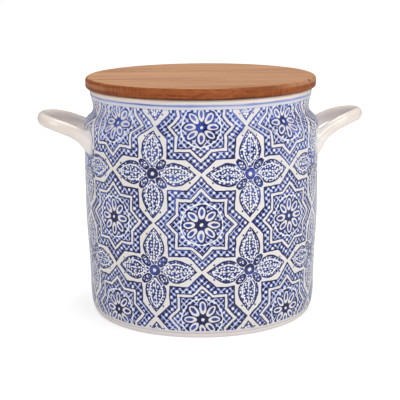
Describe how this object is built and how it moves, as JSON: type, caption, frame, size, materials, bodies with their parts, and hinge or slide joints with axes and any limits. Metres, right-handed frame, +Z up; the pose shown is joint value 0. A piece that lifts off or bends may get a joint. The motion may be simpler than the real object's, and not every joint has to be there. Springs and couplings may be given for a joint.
{
  "type": "cookie jar",
  "caption": "Round stoneware cookie jar with two loop handles at the shoulder and a lift-off wooden plug lid sealed by a finned silicone ring.",
  "frame": {"origin": "centre of the foot's underside, on the jar's axis", "axes": "+Z up along the jar's axis, +X through the middle of the right handle, -Y towards the viewer"},
  "size_m": [0.2808, 0.2024, 0.2042],
  "materials": {
    "painted_glaze": "gloss glaze over cobalt painting",
    "plain_glaze": "gloss",
    "lid_wood": "satin oil",
    "silicone": "matt"
  },
  "bodies": {
    "jar": {"jar_body": "painted_glaze", "handle_right": "plain_glaze", "handle_left": "plain_glaze"},
    "seal": {"seal_ring": "silicone"},
    "lid": {"lid_stave_1": "lid_wood", "lid_stave_2": "lid_wood", "lid_stave_3": "lid_wood", "lid_stave_4": "lid_wood", "lid_stave_5": "lid_wood", "lid_stave_6": "lid_wood", "lid_plug": "lid_wood"}
  },
  "joints": [
    {"name": "lid_lift", "type": "slide", "parent": "jar", "child": "seal", "axis": [0, 0, 1], "range_m": [0, 0.15]},
    {"name": "lid_turn", "type": "hinge", "parent": "seal", "child": "lid", "pos_m": [0, 0, 0.1895], "axis": [0, 0, 1], "continuous": true}
  ]
}
